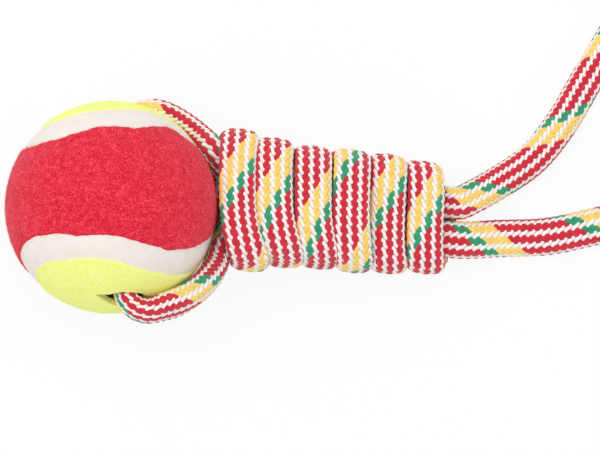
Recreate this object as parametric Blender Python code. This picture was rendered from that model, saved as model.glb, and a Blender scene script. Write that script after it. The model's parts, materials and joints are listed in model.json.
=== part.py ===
"""Dog tug toy: a felt-covered ball threaded on one braided rope, with a wound knot and a hand loop.

The toy lies on its side. +X runs from the ball to the hand loop, +Y across it and +Z up.
Lengths are in metres. The rope is one piece, made here in stretches that meet end to end:
rope_end_b, winding, ball_run_lower, ball_run_inside, ball_run_upper, core_strand_out,
handle_loop, core_strand_back, rope_end_a.
"""

from math import asin, cos, pi, radians, sin, sqrt

import bmesh
import bpy
import numpy as np
from mathutils import Euler, Matrix, Vector

# The ball
BALL_DIAMETER = 0.065
FELT_THICKNESS = 0.0025
CORE_WALL = 0.0034
RED_EDGE_SETBACK = 0.0048
LIME_EDGE_SETBACK = 0.0041
SEAM_RECESS = 0.0004
BORE_CLEARANCE = 0.0010
HOLE_LENGTH_SHARE = 1.45
SLIT_OVERREACH = 0.0034
SLIT_WIDTH = 0.0046
HOLE_POINTS = 16
CUT_OVERRUN = 0.0030
SEAM_LOBE_SHARE = 0.794
SEAM_TURN = Euler((radians(-46.3), radians(-15.9), radians(59.0)))
BORE_YAW = radians(8.7)
BORE_ROLL = radians(28.5)
CORE_SEGMENTS = 36
CORE_ARC_STEPS = 9
FELT_ROWS = 28
FELT_COLUMNS = 14
SEAM_SEGMENTS = 80

# The rope, an oval braid that is pulled flat where it is wound
ROPE_WIDTH = 0.0116
ROPE_THICKNESS = 0.0080
TURN_WIDTH = 0.0097
TURN_THICKNESS = 0.0050
PINCH_WIDTH = 0.0078
PINCH_THICKNESS = 0.0066
BEND_RADIUS_SHARE = 0.75
END_SEAL_LENGTH = 0.0030
END_SEAL_REACH_SHARES = (0.0, 0.55, 0.85, 1.0)
END_SEAL_SIZE_SHARES = (1.0, 1.0, 0.86, 0.55)
SEAT_GAP = 0.0003
ROPE_SIDES = 8

# The knot: its first turn's place from the ball's centre, its slope down to the table and its turns
KNOT_OFF_BALL = 0.0080
KNOT_SIDE = 0.0056
KNOT_YAW = radians(-5.2)
KNOT_ROLL_AT_BALL = radians(-17.0)
KNOT_ROLL_AT_LOOP = radians(-2.6)
TABLE_PRESS = 0.0005
TURN_GAP = 0.00186
TURNS = 6
POINTS_PER_TURN = 24
SQUARENESS = 3.0
WINDING_START = -0.25
WINDING_END = 5.67
# Half sizes of the space inside each turn, from the ball's end, as shares of the rope's width and thickness
INNER_WIDTH_SHARES = (1.448, 1.224, 1.138, 1.164, 1.129, 1.030)
INNER_HEIGHT_SHARES = (1.00, 1.10, 1.10, 1.10, 0.60, 0.59)
# Where a turn stands along the knot at its back, bottom, front and top, as shares of the pitch
BACK_SHARES = (0.62, 0.60, 0.58, 0.56, 0.54, 0.57)
BOTTOM_SHARES = (0.27, 0.24, 0.21, 0.18, 0.15, 0.17)
FRONT_SHARES = (-0.32, -0.33, -0.27, -0.23, -0.17, -0.09)
TOP_SHARES = (-0.15, -0.22, -0.20, -0.17, -0.14, -0.16)
LAST_SHARES = (-0.32, -0.50)
# How far the rope runs straight beyond the first and the last turn, in its widths
START_LEAD_SHARES = (0.4, 0.2)
END_LEAD_SHARES = (0.5, 1.0)

# The two strands inside the winding, which cross between the second and the fourth turn:
# places along the knot and lengths there as shares of the pitch
OUT_STRAND_START_SHARE = -0.173
OUT_STRAND_SIDE_SHARE = 0.80
BACK_STRAND_SIDE_SHARE = 0.62
BACK_STRAND_START_SHARE = 0.649
CROSSING_START_SHARE = 0.346
CROSSING_LENGTH_SHARE = 2.941
LIFT_START_SHARE = 0.346
LIFT_LENGTH_SHARE = 0.952
SETTLE_START_SHARE = 2.638
SETTLE_LENGTH_SHARE = 1.038
TWIST_LENGTH_SHARE = 1.557
HINGE_OVERHANG = 0.0036
STRAND_POINTS = 26

# The runs round the ball: bearing and height over the ball's middle in degrees, and the lift off the
# felt as a share of the rope's thickness
LOWER_RUN = (
    (-62.5, 19.5, -0.05),
    (-53.0, 13.6, -0.01),
    (-43.9, 7.0, 0.00),
    (-37.8, 1.2, 0.00),
    (-30.5, -6.2, 0.01),
    (-21.8, -12.2, -0.06),
)
LOWER_RUN_GROWTH_SHARE = 0.42
# Squeezed in the holes, the rope swells between these shares of each run, counted from its hole
LOWER_SWELL_SHARES = (0.16, 0.36)
UPPER_SWELL_SHARES = (0.28, 0.56)
# Where the lower run turns up from behind the knot: along it from the first turn, across and through it
TURN_UP = (-0.0035, -0.0074, -0.0099)
RUN_LEAD = 0.0020
RUN_POINTS = 29
UPPER_RUN = (
    (85.5, -39.5, -0.06),
    (77.0, -38.0, -0.03),
    (69.5, -32.8, -0.01),
    (61.5, -28.9, 0.00),
    (49.6, -25.6, 0.00),
    (38.5, -21.3, 0.00),
    (26.6, -14.8, 0.06),
)

# The hand loop lies on the table: places from its hinge, along +X and +Y, in its order
LOOP_ROUTE = (
    (0.0145, -0.0057),
    (0.0301, -0.0050),
    (0.0427, -0.0024),
    (0.0599, 0.0018),
    (0.0799, 0.0063),
    (0.0999, 0.0103),
    (0.1155, 0.0138),
    (0.1360, 0.0238),
    (0.1478, 0.0427),
    (0.1497, 0.0652),
    (0.1406, 0.0852),
    (0.1233, 0.0984),
    (0.1013, 0.1022),
    (0.0799, 0.0957),
    (0.0638, 0.0818),
    (0.0563, 0.0684),
    (0.0489, 0.0551),
    (0.0417, 0.0431),
    (0.0342, 0.0303),
    (0.0248, 0.0188),
    (0.0137, 0.0112),
)
LOOP_LIFT = 0.0003
LOOP_LEAD = 0.0025
# The strand that comes back is drawn narrower, from these shares of the loop on, and leans off the knot
DRAWN_WIDTH = 0.0103
DRAWN_SHARES = (0.45, 0.60)
BACK_STUB = 0.0012
BACK_LEAD = 0.0062
BACK_LEAN = radians(22.0)
LOOP_POINTS = 66
LOOP_SIDES = 12
LOOP_END_ANGLES = (25, 50, 72)

BALL_RADIUS = BALL_DIAMETER / 2
BEND_RADIUS = ROPE_THICKNESS * BEND_RADIUS_SHARE
BORE_RADIUS = (PINCH_WIDTH + BORE_CLEARANCE) / 2
HOLE_REACH = BORE_RADIUS * HOLE_LENGTH_SHARE
SLIT_REACH = HOLE_REACH + SLIT_OVERREACH
TURN_PITCH = TURN_WIDTH + TURN_GAP
KNOT_START = BALL_RADIUS + KNOT_OFF_BALL
OUT_STRAND_START = TURN_PITCH * OUT_STRAND_START_SHARE
BACK_STRAND_START = TURN_PITCH * BACK_STRAND_START_SHARE
CROSSING_START = TURN_PITCH * CROSSING_START_SHARE
CROSSING_LENGTH = TURN_PITCH * CROSSING_LENGTH_SHARE
LIFT_START = TURN_PITCH * LIFT_START_SHARE
LIFT_LENGTH = TURN_PITCH * LIFT_LENGTH_SHARE
SETTLE_START = TURN_PITCH * SETTLE_START_SHARE
SETTLE_LENGTH = TURN_PITCH * SETTLE_LENGTH_SHARE
TWIST_LENGTH = TURN_PITCH * TWIST_LENGTH_SHARE
OUT_STRAND_OFFSET = ROPE_WIDTH * OUT_STRAND_SIDE_SHARE
BACK_STRAND_OFFSET = ROPE_WIDTH * BACK_STRAND_SIDE_SHARE
CORE_RADIUS = BALL_RADIUS - FELT_THICKNESS
HUG_RADIUS = BALL_RADIUS + SEAT_GAP + ROPE_THICKNESS / 2
PINCH_HUG_RADIUS = BALL_RADIUS + SEAT_GAP + PINCH_THICKNESS / 2
MEET_RADIUS = CORE_RADIUS - CORE_WALL - ROPE_THICKNESS / 2
STRAND_SPACING = ROPE_WIDTH + SEAT_GAP
BACK_SIDE = (STRAND_SPACING - ROPE_WIDTH + DRAWN_WIDTH) / 2
STRAND_LIFT = (ROPE_THICKNESS + SEAT_GAP) / 2
BALL_CENTRE = Vector((0, 0, BALL_RADIUS))
BORE_AXIS = Vector((sin(BORE_YAW), -cos(BORE_YAW) * cos(BORE_ROLL), cos(BORE_YAW) * sin(BORE_ROLL)))
UP = Vector((0, 0, 1))


# Objects and materials
def clear_scene():
    for obj in list(bpy.data.objects):
        bpy.data.objects.remove(obj, do_unlink=True)


def material(name, color, roughness, sheen=0.0):
    found = bpy.data.materials.get(name)
    if found:
        return found
    made = bpy.data.materials.new(name)
    made.use_nodes = True
    shader = made.node_tree.nodes["Principled BSDF"]
    shader.inputs["Base Color"].default_value = (*color, 1)
    shader.inputs["Roughness"].default_value = roughness
    shader.inputs["Sheen Weight"].default_value = sheen
    return made


def add_object(name, bm, look, parent, origin=Vector()):
    """An object from a bmesh in toy coordinates; its parent empty stands at origin."""
    mesh = bpy.data.meshes.new(name)
    bmesh.ops.translate(bm, verts=bm.verts, vec=-origin)
    bmesh.ops.recalc_face_normals(bm, faces=bm.faces)
    bm.to_mesh(mesh)
    bm.free()
    mesh.shade_smooth()
    mesh.set_sharp_from_angle(angle=radians(50))
    mesh.materials.append(look)
    obj = bpy.data.objects.new(name, mesh)
    bpy.context.scene.collection.objects.link(obj)
    obj.parent = parent
    return obj


def add_empty(name, location, parent=None):
    obj = bpy.data.objects.new(name, None)
    obj.empty_display_size = BALL_RADIUS
    obj.location = location
    bpy.context.scene.collection.objects.link(obj)
    obj.parent = parent
    return obj


def cut_with(obj, cutter):
    cut = obj.modifiers.new("holes", "BOOLEAN")
    cut.operation = "DIFFERENCE"
    cut.solver = "EXACT"
    cut.object = cutter


# Smooth values and routes
def smooth_step(share):
    share = min(max(share, 0), 1)
    return share * share * (3 - 2 * share)


def table_value(values, place):
    """A smooth value between a table's entries; past its ends it stays level."""
    last = len(values) - 1
    place = min(max(place, 0), last)
    low = min(int(place), last - 1)
    start = (values[low + 1] - values[max(low - 1, 0)]) / 2
    end = (values[min(low + 2, last)] - values[low]) / 2
    share = place - low
    return hermite(values[low], values[low + 1], start, end, share)


def hermite(first, last, start, end, share):
    square = share * share
    cube = square * share
    rise = 3 * square - 2 * cube
    return first * (1 - rise) + last * rise + start * (cube - 2 * square + share) + end * (cube - square)


def route_slopes(places):
    chords = [b - a for a, b in zip(places, places[1:])]
    slopes = [chords[0].normalized()]
    for before, after in zip(chords, chords[1:]):
        near, far = before.length, after.length
        slopes.append((before / near * far + after / far * near) / (near + far))
    slopes.append(chords[-1].normalized())
    return slopes


def smooth_route(route, count):
    """Evenly spaced places on a smooth curve through a route of (place, facing) pairs.

    The facing is the direction of the flat side of the rope."""
    places = [place for place, _ in route]
    facings = [facing.normalized() for _, facing in route]
    slopes = route_slopes(places)
    steps = 20
    fine, looks = [], []
    for i in range(len(places) - 1):
        reach = (places[i + 1] - places[i]).length
        for step in range(steps):
            share = step / steps
            fine.append(hermite(places[i], places[i + 1], slopes[i] * reach, slopes[i + 1] * reach, share))
            looks.append(facings[i].lerp(facings[i + 1], share))
    fine.append(places[-1])
    looks.append(facings[-1])
    run = np.cumsum([0.0] + [(b - a).length for a, b in zip(fine, fine[1:])])
    wanted = np.linspace(0, run[-1], count)
    even = [np.interp(wanted, run, [point[axis] for point in fine]) for axis in range(3)]
    turned = [np.interp(wanted, run, [look[axis] for look in looks]) for axis in range(3)]
    return [(Vector(place), Vector(look)) for place, look in zip(zip(*even), zip(*turned))]


def section_matrices(route, widths, thicknesses):
    """One matrix for each place of a route: across the rope, through its flat side, along it."""
    places = [place for place, _ in route]
    matrices = []
    for i, (place, facing) in enumerate(route):
        before = (place - places[i - 1]).normalized() if i else Vector()
        after = (places[i + 1] - place).normalized() if i < len(places) - 1 else Vector()
        along = (before + after).normalized()
        through = (facing - along * facing.dot(along)).normalized()
        across = along.cross(through)
        columns = (across * widths[i] / 2, through * thicknesses[i] / 2, along, place)
        matrices.append(Matrix([[*(column[row] for column in columns)] for row in range(3)] + [[0, 0, 0, 1]]))
    return matrices


def sweep(matrices, sides):
    """A closed tube: a flat-sided ring extruded from each matrix to the next."""
    bm = bmesh.new()
    bmesh.ops.create_circle(bm, cap_ends=True, segments=sides, radius=1 / cos(pi / sides))
    bmesh.ops.rotate(bm, verts=bm.verts, matrix=Matrix.Rotation(pi / sides, 3, "Z"))
    bmesh.ops.transform(bm, matrix=matrices[0], verts=bm.verts)
    face = bm.faces[:][0]
    for i, (before, after) in enumerate(zip(matrices, matrices[1:])):
        grown = bmesh.ops.extrude_face_region(bm, geom=[face], use_keep_orig=True)["geom"]
        if i:
            bmesh.ops.delete(bm, geom=[face], context="FACES_ONLY")
        ring = [piece for piece in grown if isinstance(piece, bmesh.types.BMVert)]
        face = next(piece for piece in grown if isinstance(piece, bmesh.types.BMFace))
        bmesh.ops.transform(bm, matrix=after @ before.inverted(), verts=ring)
    return bm


def rope_stretch(name, route, look, parent, width=ROPE_WIDTH, thickness=ROPE_THICKNESS):
    count = len(route)
    return add_object(
        name, sweep(section_matrices(route, [width] * count, [thickness] * count), ROPE_SIDES), look, parent
    )


# The knot's own frame: along its axis from the first turn, across it and through it
def inner_half_width(along):
    return ROPE_WIDTH * table_value(INNER_WIDTH_SHARES, along / TURN_PITCH)


def inner_half_height(along):
    return ROPE_THICKNESS * table_value(INNER_HEIGHT_SHARES, along / TURN_PITCH)


REST_PLACE = (TURNS - 0.5) * TURN_PITCH
HINGE_DISTANCE = REST_PLACE + HINGE_OVERHANG
REST_HEIGHT = inner_half_height(REST_PLACE) + SEAT_GAP + TURN_THICKNESS - TABLE_PRESS
KNOT_TILT = asin((BALL_RADIUS - REST_HEIGHT) / (KNOT_START + REST_PLACE))
KNOT_ALONG = Vector((cos(KNOT_TILT) * cos(KNOT_YAW), cos(KNOT_TILT) * sin(KNOT_YAW), -sin(KNOT_TILT)))
KNOT_ACROSS = UP.cross(KNOT_ALONG).normalized()
KNOT_THROUGH = KNOT_ALONG.cross(KNOT_ACROSS)


def knot_directions(along):
    """Across and through the flat knot, which is rolled most at the ball."""
    share = smooth_step(along / ((TURNS - 1) * TURN_PITCH))
    roll = KNOT_ROLL_AT_BALL + (KNOT_ROLL_AT_LOOP - KNOT_ROLL_AT_BALL) * share
    across = KNOT_ACROSS * cos(roll) + KNOT_THROUGH * sin(roll)
    through = KNOT_THROUGH * cos(roll) - KNOT_ACROSS * sin(roll)
    return across, through


def knot_place(along, across=0, through=0):
    side, face = knot_directions(along)
    axis = BALL_CENTRE + KNOT_ALONG * (KNOT_START + along) + KNOT_ACROSS * KNOT_SIDE
    return axis + side * across + face * through


# The winding: six turns from the loop's end to the ball's end
def quarter_places():
    """Each quarter of a turn's place along the knot, in pitches, from just before the first bottom."""
    places = []
    for turn in range(TURNS - 1, -1, -1):
        shares = (BACK_SHARES[turn], BOTTOM_SHARES[turn], FRONT_SHARES[turn], TOP_SHARES[turn])
        places += [turn + share for share in shares]
    return (*places, *LAST_SHARES)


def winding_along(progress):
    return TURN_PITCH * table_value(quarter_places(), 4 * progress + 1)


def winding_point(progress):
    """A place on the turns and the outward direction there."""
    along = winding_along(progress)
    half_width = inner_half_width(along) + SEAT_GAP + TURN_THICKNESS / 2
    half_height = inner_half_height(along) + SEAT_GAP + TURN_THICKNESS / 2
    angle = 2 * pi * progress
    across, through = -cos(angle), sin(angle)
    bulge = 2 / SQUARENESS
    place = knot_place(
        along,
        half_width * np.sign(across) * abs(across) ** bulge,
        half_height * np.sign(through) * abs(through) ** bulge,
    )
    side, face = knot_directions(along)
    steep = 2 - bulge
    outward = (
        side * (np.sign(across) * abs(across) ** steep / half_width)
        + face * (np.sign(through) * abs(through) ** steep / half_height)
    )
    return place, outward.normalized()


def winding_route():
    first = round(WINDING_START * POINTS_PER_TURN)
    last = round(WINDING_END * POINTS_PER_TURN)
    turns = [winding_point(step / POINTS_PER_TURN) for step in range(first, last + 1)]
    lead_in = (turns[0][0] - turns[1][0]).normalized()
    lead_out = (turns[-1][0] - turns[-2][0]).normalized()
    start = [(turns[0][0] + lead_in * TURN_WIDTH * share, turns[0][1]) for share in START_LEAD_SHARES]
    end = [(turns[-1][0] + lead_out * TURN_WIDTH * share, turns[-1][1]) for share in END_LEAD_SHARES]
    return start + turns + end


def least_gap(matrices):
    """The least gap between points of the winding's skin that lie half a turn or more apart."""
    around = [2 * pi * (side + 0.5) / ROPE_SIDES for side in range(2 * ROPE_SIDES)]
    ring = [Vector((cos(angle), sin(angle), 0)) for angle in around[:ROPE_SIDES]]
    points = np.array([[matrix @ (spot / cos(pi / ROPE_SIDES)) for spot in ring] for matrix in matrices])
    points = np.concatenate([points, (points + np.roll(points, 1, axis=1)) / 2], axis=1)
    least = np.inf
    for i in range(len(points)):
        others = points[i + POINTS_PER_TURN // 2 :].reshape(-1, 3)
        if len(others):
            least = min(least, np.linalg.norm(points[i][:, None] - others[None], axis=2).min())
    return least


def press_on_table(bm):
    """What would reach below the table is flat on it."""
    for vert in bm.verts:
        vert.co.z = max(vert.co.z, 0)


def make_winding(look, parent):
    route = winding_route()
    count = len(route)
    matrices = section_matrices(route, [TURN_WIDTH] * count, [TURN_THICKNESS] * count)
    print(f"winding: {TURNS} turns, least gap to itself {least_gap(matrices) * 1000:.2f} mm")
    bm = sweep(matrices, ROPE_SIDES)
    press_on_table(bm)
    add_object("winding", bm, look, parent)
    return route


def make_end_seal(name, place, outward, facing, width, thickness, look, parent):
    """The rope's cut end, melted to a short rounded plug."""
    route = [(place + outward * (SEAT_GAP + END_SEAL_LENGTH * reach), facing) for reach in END_SEAL_REACH_SHARES]
    widths = [width * size for size in END_SEAL_SIZE_SHARES]
    thicknesses = [thickness * size for size in END_SEAL_SIZE_SHARES]
    bm = sweep(section_matrices(route, widths, thicknesses), ROPE_SIDES)
    press_on_table(bm)
    add_object(name, bm, look, parent)


# The strands inside the winding
def strand_lift(along):
    rise = smooth_step((along - LIFT_START) / LIFT_LENGTH)
    fall = smooth_step((along - SETTLE_START) / SETTLE_LENGTH)
    return STRAND_LIFT * rise * (1 - fall)


def out_strand(along):
    share = smooth_step((along - CROSSING_START) / CROSSING_LENGTH)
    across = OUT_STRAND_OFFSET + (-STRAND_SPACING / 2 - OUT_STRAND_OFFSET) * share
    side, face = knot_directions(along)
    twist = pi / 2 * smooth_step((along - OUT_STRAND_START) / TWIST_LENGTH)
    return knot_place(along, across, strand_lift(along)), side * cos(twist) + face * sin(twist)


def back_strand(along):
    share = smooth_step((along - CROSSING_START) / CROSSING_LENGTH)
    across = -BACK_STRAND_OFFSET + (STRAND_SPACING / 2 + BACK_STRAND_OFFSET) * share
    return knot_place(along, across, -strand_lift(along)), knot_directions(along)[1]


STRAND_END = HINGE_DISTANCE - ROPE_THICKNESS / 2 - SEAT_GAP


def strand_route(strand, start, count):
    return [strand(along) for along in np.linspace(start, STRAND_END, count)]


# The rope's way over the ball and through it
def bore_point(side, distance):
    return BALL_CENTRE + BORE_AXIS * side * distance


def hug_point(bearing, height, lift):
    bearing, height = radians(bearing), radians(height)
    radial = Vector((cos(height) * cos(bearing), cos(height) * sin(bearing), sin(height)))
    return BALL_CENTRE + radial * (HUG_RADIUS + lift * ROPE_THICKNESS), radial


def bend_heading(side, run):
    """The direction that the rope takes where it leaves a hole: square to the bore, along the run."""
    _, radial = hug_point(*run[0])
    return (radial - BORE_AXIS * radial.dot(BORE_AXIS)).normalized()


def hole_route(side, run):
    """From inside the ball through one hole, round its lip and along the felt."""
    out = BORE_AXIS * side
    heading = bend_heading(side, run)
    bend_start = PINCH_HUG_RADIUS - BEND_RADIUS
    route = [(bore_point(side, MEET_RADIUS), -heading)]
    route.append((bore_point(side, (MEET_RADIUS + bend_start) / 2), -heading))
    for step in range(4):
        angle = pi / 2 * step / 3
        place = bore_point(side, bend_start + BEND_RADIUS * sin(angle))
        route.append((place + heading * BEND_RADIUS * (1 - cos(angle)), out * sin(angle) - heading * cos(angle)))
    return route + [hug_point(*spot) for spot in run]


def swollen(places, shares):
    """How far the rope has swollen at each of a run's places, counted from its hole."""
    start, end = shares
    return [smooth_step((place / places - start) / (end - start)) for place in range(places)]


def make_ball_runs(winding, look, parent):
    end, facing = winding[-1]
    leave = (end - winding[-2][0]).normalized()
    start = end + leave * SEAT_GAP
    turn_up = knot_place(*TURN_UP)
    half_way = (turn_up - BALL_CENTRE).normalized() + facing
    guides = [(start + leave * RUN_LEAD, facing), (turn_up, half_way), *hole_route(1, LOWER_RUN)[::-1]]
    route = [(start, facing), *smooth_route(guides, RUN_POINTS)]
    count = len(route)
    grow = [smooth_step(i / (LOWER_RUN_GROWTH_SHARE * count)) for i in range(count)]
    pinch = [1 - share for share in swollen(count, LOWER_SWELL_SHARES)[::-1]]
    widths = [
        TURN_WIDTH + (ROPE_WIDTH - TURN_WIDTH) * share - (ROPE_WIDTH - PINCH_WIDTH) * tight
        for share, tight in zip(grow, pinch)
    ]
    thicknesses = [
        TURN_THICKNESS + (ROPE_THICKNESS - TURN_THICKNESS) * share - (ROPE_THICKNESS - PINCH_THICKNESS) * tight
        for share, tight in zip(grow, pinch)
    ]
    add_object("ball_run_lower", sweep(section_matrices(route, widths, thicknesses), ROPE_SIDES), look, parent)

    strand_start, strand_facing = out_strand(OUT_STRAND_START)
    stop = strand_start - KNOT_ALONG * SEAT_GAP
    guides = [*hole_route(-1, UPPER_RUN), (stop - KNOT_ALONG * RUN_LEAD, strand_facing)]
    route = [*smooth_route(guides, RUN_POINTS), (stop, strand_facing)]
    swell = swollen(len(route), UPPER_SWELL_SHARES)
    widths = [PINCH_WIDTH + (ROPE_WIDTH - PINCH_WIDTH) * share for share in swell]
    thicknesses = [PINCH_THICKNESS + (ROPE_THICKNESS - PINCH_THICKNESS) * share for share in swell]
    add_object("ball_run_upper", sweep(section_matrices(route, widths, thicknesses), ROPE_SIDES), look, parent)

    inner_end = MEET_RADIUS - SEAT_GAP
    inside = [
        (bore_point(1, inner_end), -bend_heading(1, LOWER_RUN)),
        (bore_point(-1, inner_end), -bend_heading(-1, UPPER_RUN)),
    ]
    rope_stretch("ball_run_inside", smooth_route(inside, 6), look, parent, PINCH_WIDTH, PINCH_THICKNESS)


# The hand loop, which swings up about an axis across the knot's end
def loop_route():
    height = LOOP_LIFT + ROPE_THICKNESS / 2
    side, face = knot_directions(HINGE_DISTANCE)
    out = knot_place(HINGE_DISTANCE, -STRAND_SPACING / 2)
    back = knot_place(HINGE_DISTANCE, BACK_SIDE)
    lead = KNOT_ALONG * LOOP_LEAD
    stub = KNOT_ALONG * BACK_STUB
    lean = (KNOT_ALONG * cos(BACK_LEAN) + side * sin(BACK_LEAN)) * BACK_LEAD
    hinge = knot_place(HINGE_DISTANCE)
    on_table = [(Vector((hinge.x + along, hinge.y + across, height)), UP) for along, across in LOOP_ROUTE]
    free = smooth_route([(out + lead, face), *on_table, (back + lean, face), (back + stub, face)], LOOP_POINTS)
    for place, _ in free:
        place.z = max(place.z, height)
    return [(out, face), *free, (back, face)]


def make_loop(look, parent, origin):
    """The loop's tube; each end is rounded about the axis that it swings on."""
    route = loop_route()
    start, end = DRAWN_SHARES
    drawn = [smooth_step((i / len(route) - start) / (end - start)) for i in range(len(route))]
    widths = [ROPE_WIDTH + (DRAWN_WIDTH - ROPE_WIDTH) * share for share in drawn]
    matrices = section_matrices(route, widths, [ROPE_THICKNESS] * len(route))

    def rounded_end(matrix, direction):
        rings = []
        for angle in (radians(degree) for degree in LOOP_END_ANGLES):
            ring = matrix.copy()
            ring.col[1] *= cos(angle)
            ring.col[3] += matrix.col[2] * direction * ROPE_THICKNESS / 2 * sin(angle)
            rings.append(ring)
        return rings

    start = rounded_end(matrices[0], -1)[::-1]
    end = rounded_end(matrices[-1], 1)
    add_object("handle_loop", sweep(start + matrices + end, LOOP_SIDES), look, parent, origin)
    length = sum((b[0] - a[0]).length for a, b in zip(route, route[1:]))
    print(f"hand loop: {length * 1000:.0f} mm of rope")


# The ball's skin: two alike panels whose border follows a seam curve on the sphere
def seam_point(angle):
    """A unit vector on the seam's middle line, in the ball's frame."""
    lobe = SEAM_LOBE_SHARE
    waist = 1 - lobe
    point = Vector(
        (
            lobe * cos(angle) + waist * cos(3 * angle),
            lobe * sin(angle) - waist * sin(3 * angle),
            2 * sqrt(lobe * waist) * sin(2 * angle),
        )
    )
    return point.normalized()


def seam_offset(angle, setback):
    """A point beside the seam's middle line; a positive setback lies on the red side."""
    step = radians(0.2)
    point = seam_point(angle)
    onward = (seam_point(angle + step) - seam_point(angle - step)).normalized()
    sideways = point.cross(onward)
    turn = setback / BALL_RADIUS
    return (point * cos(turn) + sideways * sin(turn)).normalized()


def turned(direction):
    moved = direction.copy()
    moved.rotate(SEAM_TURN)
    return moved


def panel_grid(setback, start, mirror):
    """Rows of unit vectors from one border of a panel to the other, between the panel's two ends."""
    rows = []
    for row in range(FELT_ROWS + 1):
        angle = start + pi * row / FELT_ROWS
        first = seam_offset(angle, setback)
        last = seam_offset(mirror - angle, setback)
        if row in (0, FELT_ROWS):
            rows.append([turned((first + last).normalized())])
        else:
            rows.append([turned(first.slerp(last, column / FELT_COLUMNS)) for column in range(FELT_COLUMNS + 1)])
    return rows


def make_panel(name, setback, start, mirror, look, parent):
    """A felt panel: its outer face from the rows, then extruded inwards to its thickness."""
    bm = bmesh.new()
    rows = [[bm.verts.new(BALL_CENTRE + spot * BALL_RADIUS) for spot in row] for row in panel_grid(setback, start, mirror)]
    for before, after in zip(rows, rows[1:]):
        for column in range(FELT_COLUMNS):
            corners = [before[min(column, len(before) - 1)], before[min(column + 1, len(before) - 1)]]
            corners += [after[min(column + 1, len(after) - 1)], after[min(column, len(after) - 1)]]
            bm.faces.new(list(dict.fromkeys(corners)))
    outer = list(bm.verts)
    bmesh.ops.extrude_face_region(bm, geom=bm.faces[:], use_keep_orig=True)
    for vert in outer:
        radial = (vert.co - BALL_CENTRE).normalized()
        vert.co = BALL_CENTRE + radial * (CORE_RADIUS + SEAT_GAP)
    return add_object(name, bm, look, parent, BALL_CENTRE)


def make_seam(look, parent):
    """The cement between the panels: a flat band swept once along the seam curve."""
    bm = bmesh.new()
    gap = SEAT_GAP
    outer = BALL_RADIUS - SEAM_RECESS
    inner = CORE_RADIUS + SEAT_GAP
    spans = (RED_EDGE_SETBACK - gap, 0, -LIME_EDGE_SETBACK + gap)
    rings = []
    for step in range(SEAM_SEGMENTS):
        angle = 2 * pi * step / SEAM_SEGMENTS
        spots = [(span, outer) for span in spans] + [(span, inner) for span in spans[::-1]]
        ring = [bm.verts.new(BALL_CENTRE + turned(seam_offset(angle, span)) * radius) for span, radius in spots]
        rings.append([bm.edges.new(pair) for pair in zip(ring, ring[1:] + ring[:1])])
    for before, after in zip(rings, rings[1:] + rings[:1]):
        bmesh.ops.bridge_loops(bm, edges=before + after)
    return add_object("seam", bm, look, parent, BALL_CENTRE)


def make_core_half(name, side, look, parent):
    """Half of the hollow rubber ball, turned about the bore, with a hole at its pole."""
    bm = bmesh.new()
    inner_radius = CORE_RADIUS - CORE_WALL
    base = SEAT_GAP / 2
    outline = []
    for radius, order in ((CORE_RADIUS, 1), (inner_radius, -1)):
        low, high = asin(base / radius), pi / 2 - asin(BORE_RADIUS / radius)
        arc = [low + (high - low) * step / CORE_ARC_STEPS for step in range(CORE_ARC_STEPS + 1)]
        outline += [(radius * cos(angle), radius * sin(angle)) for angle in arc[::order]]
    verts = [bm.verts.new((x, 0, z)) for x, z in outline]
    edges = [bm.edges.new(pair) for pair in zip(verts, verts[1:] + verts[:1])]
    bmesh.ops.spin(
        bm,
        geom=verts + edges,
        cent=(0, 0, 0),
        axis=(0, 0, 1),
        angle=2 * pi,
        steps=CORE_SEGMENTS,
        use_merge=True,
    )
    onto_bore = (BORE_AXIS * side).to_track_quat("Z", "X").to_matrix().to_4x4()
    bmesh.ops.transform(bm, matrix=Matrix.Translation(BALL_CENTRE) @ onto_bore, verts=bm.verts)
    return add_object(name, bm, look, parent, BALL_CENTRE)


def hole_outline():
    """The bore, spread along its slit by the rope; the slit runs out to a point at either side."""
    start = asin(SLIT_WIDTH / (2 * BORE_RADIUS))
    outline = []
    for side in (0, pi):
        outline.append((SLIT_REACH * cos(side), 0))
        arc = np.linspace(side + start, side + pi - start, HOLE_POINTS)
        outline += [(HOLE_REACH * cos(angle), BORE_RADIUS * sin(angle)) for angle in arc]
    return outline


def make_hole_cutter(parent):
    """The holes' outline, through the whole ball."""
    bm = bmesh.new()
    ring = [bm.verts.new((x, y, -BALL_RADIUS - CUT_OVERRUN)) for x, y in hole_outline()]
    face = bm.faces.new(ring)
    grown = bmesh.ops.extrude_face_region(bm, geom=[face], use_keep_orig=True)["geom"]
    top = [piece for piece in grown if isinstance(piece, bmesh.types.BMVert)]
    bmesh.ops.translate(bm, verts=top, vec=(0, 0, 2 * (BALL_RADIUS + CUT_OVERRUN)))
    heading = bend_heading(1, LOWER_RUN)
    frame = Matrix((heading, BORE_AXIS.cross(heading), BORE_AXIS)).transposed().to_4x4()
    bmesh.ops.transform(bm, matrix=Matrix.Translation(BALL_CENTRE) @ frame, verts=bm.verts)
    cutter = add_object("hole_cutter", bm, material("cutter", (0.5, 0.5, 0.5), 0.5), parent, BALL_CENTRE)
    cutter.hide_render = True
    cutter.display_type = "WIRE"
    return cutter


def make_ball(parent):
    rubber = material("rubber", (0.16, 0.15, 0.14), 0.8)
    cement = material("cream_cement", (0.84, 0.79, 0.74), 0.6)
    red_felt = material("red_felt", (0.72, 0.03, 0.07), 0.95, 0.4)
    lime_felt = material("lime_felt", (0.83, 0.96, 0.22), 0.95, 0.4)
    cutter = make_hole_cutter(parent)
    halves = [make_core_half("ball_core_lower", 1, rubber, parent), make_core_half("ball_core_upper", -1, rubber, parent)]
    make_panel("felt_red", RED_EDGE_SETBACK, -pi / 4, -pi / 2, red_felt, parent)
    lime = make_panel("felt_lime", -LIME_EDGE_SETBACK, pi / 4, pi / 2, lime_felt, parent)
    make_seam(cement, parent)
    for piece in (*halves, lime):
        cut_with(piece, cutter)


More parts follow.
